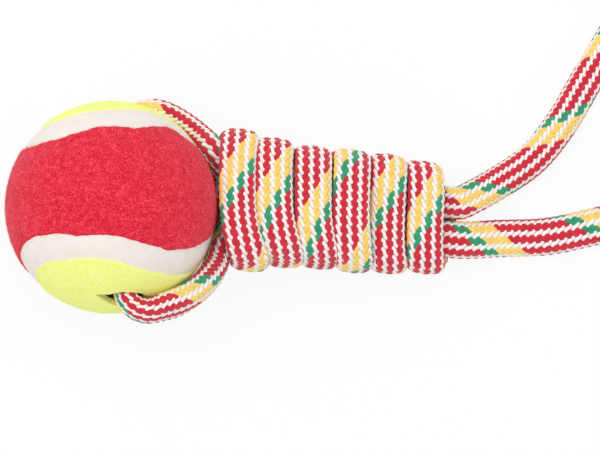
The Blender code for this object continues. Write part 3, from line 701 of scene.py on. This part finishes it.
end, facing = winding_way[-1]
leave = (end - winding_way[-2][0]).normalized()
start = end + leave * SEAT_GAP
turn_up = knot_place(*TURN_UP)
half_way = (turn_up - ball_middle).normalized() + facing
guides = [(start + leave * RUN_LEAD, facing), (turn_up, half_way), *hole_way(1, LOWER_RUN)[::-1]]
way = [(start, facing), *smooth_route(guides, RUN_PLACES)]
run = route_run(way)
grown = eased(len(way), GROWTH_SHARES)
tight = 1 - eased(len(way), LOWER_SWELL_SHARES)[::-1]
lower_lays = fitted_lays(LOWER_GREEN_AT, winding_end_lay, GREEN_SHARE)
lower_lays = (*lower_lays, (run[-1], lower_lays[-1][1] + (run[-1] - LOWER_GREEN_AT) / LAY))
widths = PULLED_WIDTH + (ROPE_WIDTH - PULLED_WIDTH) * grown - (ROPE_WIDTH - PINCH_WIDTH) * tight
thicknesses = PULLED_THICKNESS + (ROPE_THICKNESS - PULLED_THICKNESS) * grown
thicknesses -= (ROPE_THICKNESS - PINCH_THICKNESS) * tight
lower_run = braided_rope("lower_run", way, widths, thicknesses, lower_lays)
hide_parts("ball_run_lower")
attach(lower_run, "rope")

inner_end = bore_axis * (meet_radius - SEAT_GAP)
guides = [
    (ball_middle + inner_end, -bend_heading(LOWER_RUN)),
    (ball_middle - inner_end, -bend_heading(UPPER_RUN)),
]
way = smooth_route(guides, INSIDE_PLACES)
run = route_run(way)
inside_lays = ((0, lower_lays[-1][1]), (run[-1], lower_lays[-1][1] + (run[-1] - INSIDE_STRETCH) / LAY))
inside_run = even_rope("inside_run", way, PINCH_WIDTH, PINCH_THICKNESS, inside_lays)
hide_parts("ball_run_inside")
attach(inside_run, "rope")

strand_side, _ = knot_directions(STRAND_START)
stop = knot_place(STRAND_START, OUT_STRAND_OFFSET) - knot_along * SEAT_GAP
guides = [*hole_way(-1, UPPER_RUN), (stop - knot_along * RUN_LEAD, strand_side)]
way = [*smooth_route(guides, RUN_PLACES), (stop, strand_side)]
run = route_run(way)
upper_lays = ((0, inside_lays[-1][1]), (run[-1], inside_lays[-1][1] + run[-1] / LAY))
swell = eased(len(way), UPPER_SWELL_SHARES)
lip_share = eased(len(way), PRESS_SHARES) - eased(len(way), RELEASE_SHARES)
widths = PINCH_WIDTH + (ROPE_WIDTH - PINCH_WIDTH) * swell
thicknesses = PINCH_THICKNESS + (ROPE_THICKNESS - PINCH_THICKNESS) * swell - LIP_PRESS * lip_share
upper_run = braided_rope("upper_run", way, widths, thicknesses, upper_lays)
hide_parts("ball_run_upper")
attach(upper_run, "rope")


# Core strands: inside the winding the rope's two strands cross once, and leave the knot side by side.
# The tail of the rope ends between them near the ball.
HINGE_DISTANCE = 0.06718
BACK_STRAND_OFFSET = 0.62 * ROPE_WIDTH
BACK_STRAND_START = 0.0075
# Where along the knot the strands start to cross, part and settle, and over what length
CROSSING = (0.0040, 0.0340)
LIFT = (0.0040, 0.0110)
SETTLE = (0.0305, 0.0120)
TWIST_LENGTH = 0.0180
STRAND_PLACES = 90


def strand_lift(along):
    """How far each strand stands off the knot's middle, to pass the other."""
    rise = smooth_step((along - LIFT[0]) / LIFT[1])
    fall = smooth_step((along - SETTLE[0]) / SETTLE[1])
    return (ROPE_THICKNESS + SEAT_GAP) / 2 * rise * (1 - fall)


def out_strand(along):
    """A place on the strand from the ball to the loop, and the direction off its flat side."""
    share = smooth_step((along - CROSSING[0]) / CROSSING[1])
    across = OUT_STRAND_OFFSET + (-STRAND_SPACING / 2 - OUT_STRAND_OFFSET) * share
    side, face = knot_directions(along)
    twist = pi / 2 * smooth_step((along - STRAND_START) / TWIST_LENGTH)
    return knot_place(along, across, strand_lift(along)), side * cos(twist) + face * sin(twist)


def back_strand(along):
    """The same for the strand that comes back from the loop."""
    share = smooth_step((along - CROSSING[0]) / CROSSING[1])
    across = -BACK_STRAND_OFFSET + (STRAND_SPACING / 2 + BACK_STRAND_OFFSET) * share
    return knot_place(along, across, -strand_lift(along)), knot_directions(along)[1]


strand_end = HINGE_DISTANCE - TUCK - SEAT_GAP
way = [out_strand(along) for along in np.linspace(STRAND_START, strand_end, STRAND_PLACES)]
out_lays = fitted_lays(route_run(way)[-1], upper_lays[-1][1], LOOP_FIRST_LAY)
strand_out = even_rope("strand_out", way, ROPE_WIDTH, ROPE_THICKNESS, out_lays)
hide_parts("core_strand_out")
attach(strand_out, "rope")

way = [back_strand(along) for along in np.linspace(strand_end, BACK_STRAND_START, STRAND_PLACES)]
run = route_run(way)
back_lays = ((0, LOOP_LAST_LAY), (run[-1], LOOP_LAST_LAY + run[-1] / LAY))
strand_back = even_rope("strand_back", way, ROPE_WIDTH, ROPE_THICKNESS, back_lays)
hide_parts("core_strand_back")
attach(strand_back, "rope")


# Rope ends: both cut ends are melted so that the braid can't open, and tucked away, one in the knot
# near the ball and one under its last turn.


def dress(names, finish):
    """Gives a finish to nodes that keep their shape."""
    for name in names:
        frame["nodes"][name].data.materials.clear()
        frame["nodes"][name].data.materials.append(finish)


melted, tree = new_material("melted_cotton_blend")
place = add_node(tree, "ShaderNodeTexCoord").outputs["Object"]
# Yarn colours run together in patches about 1.5 mm wide
patches = add_node(tree, "ShaderNodeTexVoronoi", {"Vector": place, "Scale": 650.0})
grey = add_node(tree, "ShaderNodeSeparateColor", {"Color": patches.outputs["Color"]})
ramp = add_node(tree, "ShaderNodeValToRGB", {"Fac": grey})
ramp.color_ramp.interpolation = "CONSTANT"
stops = ramp.color_ramp.elements
for share, code in ((0.35, "D9CFC6"), (0.62, "C9A24A"), (0.80, "2A7C5C")):
    stops.new(share).color = linear(code)
stops[0].color = stops[-1].color = linear("A51E36")
# Hard drops about 1 mm wide stand 0.2 mm proud
drops = add_node(tree, "ShaderNodeTexNoise", {"Vector": place, "Scale": 900.0, "Detail": 3.0})
close_material(tree, ramp, drops, {"Strength": 0.7, "Distance": 0.0002}, {"Roughness": 0.38})
dress(("rope_end_a", "rope_end_b"), melted)


# Ball core: a hollow ball of black rubber, moulded in two half shells that are cemented together.
# It shows only in the rope's holes.


def rubber(name, shade_codes, roughness, clouds, grain, relief):
    """Rubber of two shades in clouds, with a finer grain in its skin."""
    skin, tree = new_material(name)
    place = add_node(tree, "ShaderNodeTexCoord").outputs["Object"]
    clouds = add_node(tree, "ShaderNodeTexNoise", {"Vector": place, **clouds})
    grain = add_node(tree, "ShaderNodeTexNoise", {"Vector": place, **grain})
    shades = {"Factor": clouds, 6: linear(shade_codes[0]), 7: linear(shade_codes[1])}
    colour = add_node(tree, "ShaderNodeMix", shades, data_type="RGBA").outputs[2]
    close_material(tree, colour, grain, relief, {"Roughness": roughness})
    return skin


# Chalky bloom in clouds some 4 mm wide, on a skin with a 0.3 mm grain
clouds, grain = {"Scale": 250.0, "Detail": 3.0}, {"Scale": 3300.0, "Detail": 1.0}
relief = {"Strength": 0.4, "Distance": 0.00005}
moulded = rubber("moulded_black_rubber", ("2A2826", "46423E"), 0.75, clouds, grain, relief)
dress(("ball_core_lower", "ball_core_upper"), moulded)


# Seam: cream rubber cement that fills the joint between the two felt panels all round the ball, in
# one band that sinks a little below the felt.
SEAM_RECESS = 0.0005
SEAM_BULGE = 0.0002
SEAM_STEPS = 480
SEAM_OVERLAP = 0.00015
# How much the felt's cut edges waver, in coarse and fine waves
EDGE_RAGGED = 0.00025
EDGE_WAVES = (14, 45)
SHARP_ANGLE = radians(60)
# How far each felt edge stands back from the seam's middle line, as it was cut by hand: degrees along
# the seam and millimetres
RED_CUT = (
    (4, 4.8), (9, 5.9), (13.5, 6.7), (17, 6.1), (19, 5.2), (22, 5.0), (25, 4.3), (29, 5.0), (34, 5.3),
    (37.5, 6.1), (42, 5.4), (47, 5.6), (60, 4.9), (100, 4.6), (150, 5.1), (206, 5.3), (218, 4.85),
    (222, 4.6), (226, 3.9), (231, 3.9), (235, 3.5), (239, 3.2), (244, 4.15), (248, 4.8), (254, 5.4),
    (259, 5.0), (262.6, 4.7), (266, 5.0), (270, 4.2), (274, 4.7), (282, 5.1), (290, 5.4), (297, 4.4),
    (320, 4.8), (341, 3.6), (347.5, 4.6), (353, 5.1), (357, 3.9), (360, 3.4),
)
LIME_CUT = (
    (1, 5.1), (8, 4.6), (14, 4.7), (20, 5.4), (32, 6.2), (41, 5.6), (48.5, 4.9), (60, 4.3), (110, 4.0),
    (160, 4.4), (200, 3.0), (209, 2.8), (217, 3.9), (223, 4.4), (231, 4.9), (241, 4.05), (250, 2.8),
    (257, 2.9), (268, 3.5), (275, 3.75), (281, 4.6), (291.5, 5.5), (310, 4.6), (340, 4.2), (355, 5.0),
)
SEAM_SPANS = 8
SEAM_LOBE_SHARE = 0.794
SEAM_STEP = radians(0.2)
SEAM_TURN = Euler((radians(-46.3), radians(-15.9), radians(59.0)))
seam_turn = np.array(SEAM_TURN.to_matrix())


def unit(vectors):
    """Vectors brought to length 1."""
    return vectors / np.linalg.norm(vectors, axis=-1, keepdims=True)


def seam_point(angle):
    """Directions from the ball's middle to the seam's middle line, before its turn."""
    waist = 1 - SEAM_LOBE_SHARE
    along = SEAM_LOBE_SHARE * np.cos(angle) + waist * np.cos(3 * angle)
    across = SEAM_LOBE_SHARE * np.sin(angle) - waist * np.sin(3 * angle)
    return unit(np.stack([along, across, 2 * sqrt(SEAM_LOBE_SHARE * waist) * np.sin(2 * angle)], axis=-1))


def seam_offset(angle, setback):
    """Directions to a line beside the seam's; a positive setback lies on the red side."""
    point = seam_point(angle)
    onward = unit(seam_point(angle + SEAM_STEP) - seam_point(angle - SEAM_STEP))
    turn = np.asarray(setback)[..., None] / ball_radius
    return unit(point * np.cos(turn) + np.cross(point, onward) * np.sin(turn))


def uneven(point, waves):
    """A hand-made unevenness at a point, of a coarse and a fine wave."""
    return sum(noise.noise(Vector(point) * wave) for wave in waves)


def cut_edge(angle, cut):
    """How far a felt edge stands back at angles along the seam, with the scissors' small waver."""
    places, setbacks = np.transpose(cut)
    setback = np.interp(np.degrees(angle), places, setbacks, period=360) / 1000
    waver = [uneven(point, EDGE_WAVES) for point in seam_point(angle)]
    return setback + EDGE_RAGGED * np.array(waver)


# Smears about 3 mm long in the colour, and a 0.8 mm ripple where the cement set
smears, ripple = {"Scale": 330.0, "Detail": 4.0}, {"Scale": 1250.0, "Detail": 2.0}
relief = {"Strength": 0.35, "Distance": 0.0001}
cement = rubber("cream_rubber_cement", ("EAE1D7", "F8F3EC"), 0.55, smears, ripple, relief)

bm = bmesh.new()
shares = np.linspace(0, 1, SEAM_SPANS + 1)
heights = ball_radius - SEAM_RECESS + SEAM_BULGE * np.sin(pi * shares)
shares = np.concatenate([shares, [1, 0]])
heights = np.concatenate([heights, [core_radius + SEAT_GAP] * 2])
angles = 2 * pi * np.arange(SEAM_STEPS) / SEAM_STEPS
red_sides = cut_edge(angles, RED_CUT) + SEAM_OVERLAP
lime_sides = -cut_edge(angles, LIME_CUT) - SEAM_OVERLAP
rings = []
for angle, red_side, lime_side in zip(angles, red_sides, lime_sides):
    setbacks = red_side + (lime_side - red_side) * shares
    spots = seam_offset(np.full(len(shares), angle), setbacks) @ seam_turn.T
    ring = [bm.verts.new(ball_middle + Vector(spot) * height) for spot, height in zip(spots, heights)]
    rings.append([bm.edges.new(pair) for pair in zip(ring, ring[1:] + ring[:1])])
for before, after in zip(rings, rings[1:] + rings[:1]):
    bmesh.ops.bridge_loops(bm, edges=before + after)
finish_faces(bm)
seam = add_piece("cement_seam", bm, [cement])
seam.data.set_sharp_from_angle(angle=SHARP_ANGLE)
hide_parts("seam")
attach(seam, "ball")


# Felt panels: two dog-bone shapes cut by hand from needled felt, dyed red and lime, and glued on the
# core. Their cut edges are a little ragged and roll down to the seam, and short fibres stand off them.
# The rope's holes, spread along their slits, are cut through the lime one.
FELT_ROWS = 170
FELT_COLUMNS = 90
EDGE_ROLL = 0.0006
EDGE_REACH = 0.0012
FELT_RELIEF = 0.00022
FELT_WAVES = (32, 70)
BORE_RADIUS = 0.0044
HOLE_REACH = 0.00638
SLIT_REACH = 0.00978
SLIT_WIDTH = 0.0046
HOLE_POINTS = 24
HOLE_CLEARANCE = 1.05
SLIT_CLEARANCE = 1.1
# Times that a fibre is doubled, and places on the ball for each fibre of a panel
FIBRE_DOUBLINGS = 14
PLACES_PER_FIBRE = 2.6
FIBRE_LENGTH = 0.0009
SHORTEST_SHARE = 0.5
FIBRE_RADIUS = 0.00006
FIBRE_ROOT = 0.0002
# How far they lean, and the least rise of one
FIBRE_LEAN = 0.75
LEAST_RISE = 0.15
LINE_POINTS = 720
LINE_STEP = 0.01
TINY = 1e-6


def needled_felt(name, hex_code, shade_code, tip_highlight_code):
    """Matt needled felt: tangled fibres in tufts, coloured with a painted highlight on their tips and
    painted shade in the gaps between them.
    """
    felt, tree = new_material(name)
    place = add_node(tree, "ShaderNodeTexCoord").outputs["Object"]
    # Tangles 0.5 mm wide, drawn coarser than the fibres so that they show, on clumps 2 mm wide
    tangle = add_node(tree, "ShaderNodeTexNoise", {"Vector": place, "Scale": 2000.0, "Detail": 3.0})
    clumps = add_node(tree, "ShaderNodeTexNoise", {"Vector": place, "Scale": 500.0, "Detail": 2.0})
    height = add_node(tree, "ShaderNodeMix", {"Factor": 0.3, 2: tangle, 3: clumps}, data_type="FLOAT")
    # Painted shade and highlight: the tone follows the relief's height, with a darker shade in the low gaps
    # and a paler tip colour on the high tufts
    ramp = add_node(tree, "ShaderNodeValToRGB", {"Fac": height})
    stops = ramp.color_ramp.elements
    stops[0].position = 0.32
    stops[0].color = linear(shade_code)
    stops.new(0.50).color = linear(hex_code)
    stops[-1].position = 0.68
    stops[-1].color = linear(tip_highlight_code)
    relief = {"Strength": 0.8, "Distance": 0.0002}
    finish = {"Roughness": 1.0, "Sheen Weight": 0.1, "Sheen Roughness": 0.5}
    close_material(tree, ramp, height, relief, finish)
    return felt


def hole_cutter():
    """The holes' outline, carried through the whole ball."""
    start = np.arcsin(SLIT_WIDTH / (2 * BORE_RADIUS))
    bm = bmesh.new()
    ring = []
    for side in (0, pi):
        ring.append(bm.verts.new((SLIT_REACH * cos(side), 0, -2 * ball_radius)))
        for angle in np.linspace(side + start, side + pi - start, HOLE_POINTS):
            ring.append(bm.verts.new((HOLE_REACH * cos(angle), BORE_RADIUS * sin(angle), -2 * ball_radius)))
    grown = bmesh.ops.extrude_face_region(bm, geom=[bm.faces.new(ring)], use_keep_orig=True)["geom"]
    bmesh.ops.translate(bm, verts=vertices(grown), vec=(0, 0, 4 * ball_radius))
    bmesh.ops.transform(bm, matrix=Matrix.Translation(ball_middle) @ hole_frame.to_4x4(), verts=bm.verts)
    bmesh.ops.recalc_face_normals(bm, faces=bm.faces)
    return add_piece("hole_cutter", bm, [])


heading = bend_heading(LOWER_RUN)
hole_frame = Matrix((heading, bore_axis.cross(heading), bore_axis)).transposed()


def clear_of_holes(directions):
    """Which directions from the ball's middle miss the holes."""
    across, beside, _ = (directions * ball_radius @ np.array(hole_frame)).T
    slit = np.abs(beside) / SLIT_WIDTH * 2 + np.abs(across) / SLIT_REACH
    hole = np.hypot(across / HOLE_REACH, beside / BORE_RADIUS)
    return (hole > HOLE_CLEARANCE) & (slit > SLIT_CLEARANCE)


def felt_panel(name, side, cut, start, look, holes):
    """A panel's solid sheet: a grid laid between the two ways round the seam, with a rolled edge."""
    bm = bmesh.new()
    bmesh.ops.create_grid(bm, x_segments=FELT_ROWS, y_segments=FELT_COLUMNS, size=0.5)
    row, column = np.array([vert.co[:2] for vert in bm.verts]).T + 0.5
    column = (1 - np.cos(pi * column)) / 2
    ways = (start + pi * row, start - pi * row)
    first, last = [seam_offset(angle, side * cut_edge(angle, cut)) for angle in ways]
    between = np.arccos(np.clip((first * last).sum(axis=1), -1, 1))
    width = np.maximum(np.sin(between), 1e-9)
    near, far = np.sin((1 - column) * between) / width, np.sin(column * between) / width
    arc = first * near[:, None] + last * far[:, None]
    spots = np.where(between[:, None] > TINY, arc, first) @ seam_turn.T
    edge = np.minimum(column, 1 - column) * between * ball_radius
    roll = EDGE_ROLL * (1 - np.clip(edge / EDGE_REACH, 0, 1)) ** 2
    for vert, spot, down in zip(bm.verts, spots, roll):
        relief = FELT_RELIEF * uneven(spot, FELT_WAVES) / 2
        vert.co = ball_middle + Vector(spot) * (ball_radius - down + relief)
    bmesh.ops.remove_doubles(bm, verts=bm.verts, dist=TINY)
    outer = bm.verts[:]
    bmesh.ops.extrude_face_region(bm, geom=bm.faces[:], use_keep_orig=True)
    for vert in outer:
        vert.co = ball_middle + (vert.co - ball_middle).normalized() * (core_radius + SEAT_GAP)
    finish_faces(bm)
    panel = add_piece(name, bm, [look])
    if holes:
        cutter = hole_cutter()
        punch = panel.modifiers.new("holes", "BOOLEAN")
        punch.operation = "DIFFERENCE"
        punch.solver = "EXACT"
        punch.object = cutter
        punched = panel.evaluated_get(bpy.context.evaluated_depsgraph_get())
        mesh = bpy.data.meshes.new_from_object(punched)
        panel.modifiers.clear()
        panel.data = mesh
        bpy.data.objects.remove(cutter)
    panel.data.set_sharp_from_angle(angle=SHARP_ANGLE)
    return panel


def felt_fibres(name, side, cut, look):
    """Short fibres that stand off the felt at all angles, each a thin three-sided spike."""
    bm = bmesh.new()
    number = bm.verts.layers.int.new("fibre")
    bmesh.ops.create_cone(bm, segments=3, radius1=FIBRE_RADIUS, radius2=0, depth=1)
    bmesh.ops.translate(bm, verts=bm.verts, vec=(0, 0, 0.5))
    bmesh.ops.remove_doubles(bm, verts=bm.verts, dist=TINY)
    for doubling in range(FIBRE_DOUBLINGS):
        copied = bmesh.ops.duplicate(bm, geom=bm.verts[:] + bm.edges[:] + bm.faces[:])["geom"]
        for vert in vertices(copied):
            vert[number] += 2**doubling
    fibre = np.array([vert[number] for vert in bm.verts])
    shape = np.array([vert.co for vert in bm.verts])

    # Even places over the whole ball, of which those on this panel are kept
    total = 2**FIBRE_DOUBLINGS
    index = np.arange(int(total * PLACES_PER_FIBRE))
    height = 1 - (2 * index + 1) / len(index)
    around = index * pi * (3 - sqrt(5))
    rim = np.sqrt(1 - height * height)
    spots = np.stack([rim * np.cos(around), rim * np.sin(around), height], axis=-1)
    line = 2 * pi * np.arange(LINE_POINTS) / LINE_POINTS
    seam_line = seam_point(line) @ seam_turn.T
    onward = unit(seam_point(line + LINE_STEP) - seam_point(line - LINE_STEP))
    sideways = np.cross(seam_point(line), onward) @ seam_turn.T
    nearest = (spots @ seam_line.T).argmax(axis=1)
    beside = side * ((spots - seam_line[nearest]) * sideways[nearest]).sum(axis=1) * ball_radius
    inside = beside > cut_edge(line, cut)[nearest]
    kept = spots[inside & clear_of_holes(spots)][:total]

    dice = np.random.default_rng(7)
    lean = unit(kept + dice.normal(size=kept.shape) * FIBRE_LEAN)
    lean = np.where(((lean * kept).sum(axis=1) > LEAST_RISE)[:, None], lean, kept)
    length = FIBRE_LENGTH * dice.uniform(SHORTEST_SHARE, 1.0, len(kept))
    # Two directions square to each fibre
    across = unit(np.cross(lean, unit(kept + 0.1)))
    other = np.cross(lean, across)
    doomed = [vert for vert, mine in zip(bm.verts, fibre) if mine >= len(kept)]
    chosen = np.minimum(fibre, len(kept) - 1)
    root = kept[chosen] * (ball_radius - FIBRE_ROOT) + np.array(ball_middle)
    tips = lean[chosen] * (shape[:, 2:] * length[chosen][:, None])
    places = root + tips + across[chosen] * shape[:, :1] + other[chosen] * shape[:, 1:2]
    for vert, place in zip(bm.verts, places):
        vert.co = place
    bmesh.ops.delete(bm, geom=doomed, context="VERTS")
    return add_piece(name, bm, [look])


red_felt = needled_felt("needled_felt_red", "E61A38", "B80A28", "F6586E")
lime_felt = needled_felt("needled_felt_lime", "F8FF8E", "EEF676", "FCFFB8")

red_panel = felt_panel("red_panel", 1, RED_CUT, -pi / 4, red_felt, False)
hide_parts("felt_red")
lime_panel = felt_panel("lime_panel", -1, LIME_CUT, pi / 4, lime_felt, True)
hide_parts("felt_lime")
red_fibres = felt_fibres("red_fibres", 1, RED_CUT, red_felt)
lime_fibres = felt_fibres("lime_fibres", -1, LIME_CUT, lime_felt)
for piece in (red_panel, lime_panel, red_fibres, lime_fibres):
    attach(piece, "ball")


# Table and light: a white table under one broad soft lamp in an evenly lit white room.
# The table shows as pure white, with a trace of the shadows on it.
TABLE_SIZE = 3.0
TABLE_SHADOW_SHARE = 0.12
LAMP_SIZE = 1.2
LAMP_PLACE = Vector((-0.3, 0.4, 1.5))
LAMP_POWER = 10.0
ROOM_LIGHT = 0.74

white_table, tree = new_material("white_laminate")
rays = add_node(tree, "ShaderNodeLightPath").outputs
seen = rays["Is Camera Ray"]
for kind in ("Is Glossy Ray", "Is Transmission Ray"):
    seen = add_node(tree, "ShaderNodeMath", {0: seen, 1: rays[kind]}, operation="MAXIMUM")
glow_share = add_node(tree, "ShaderNodeMath", {0: seen, 1: 1 - TABLE_SHADOW_SHARE}, operation="MULTIPLY")
laminate = add_node(tree, "ShaderNodeBsdfPrincipled", {"Base Color": linear("F7F7F7"), "Roughness": 0.8})
glow = add_node(tree, "ShaderNodeEmission", {"Strength": 1.0})
mixed = add_node(tree, "ShaderNodeMixShader", {"Fac": glow_share, 1: laminate, 2: glow})
add_node(tree, "ShaderNodeOutputMaterial", {"Surface": mixed})

bm = bmesh.new()
bmesh.ops.create_grid(bm, x_segments=1, y_segments=1, size=TABLE_SIZE / 2)
table = add_piece("table", bm, [white_table])

room = bpy.data.worlds.new("white_room")
room.use_nodes = True
room_glow = room.node_tree.nodes["Background"].inputs
room_glow["Color"].default_value = (1, 1, 1, 1)
room_glow["Strength"].default_value = ROOM_LIGHT
bpy.context.scene.world = room

soft_lamp = bpy.data.lights.new("soft_lamp", "AREA")
soft_lamp.size = LAMP_SIZE
soft_lamp.energy = LAMP_POWER
lamp = add_object("soft_lamp", soft_lamp)
lamp.location = LAMP_PLACE
lamp.rotation_euler = (-LAMP_PLACE).to_track_quat("-Z", "Y").to_euler()
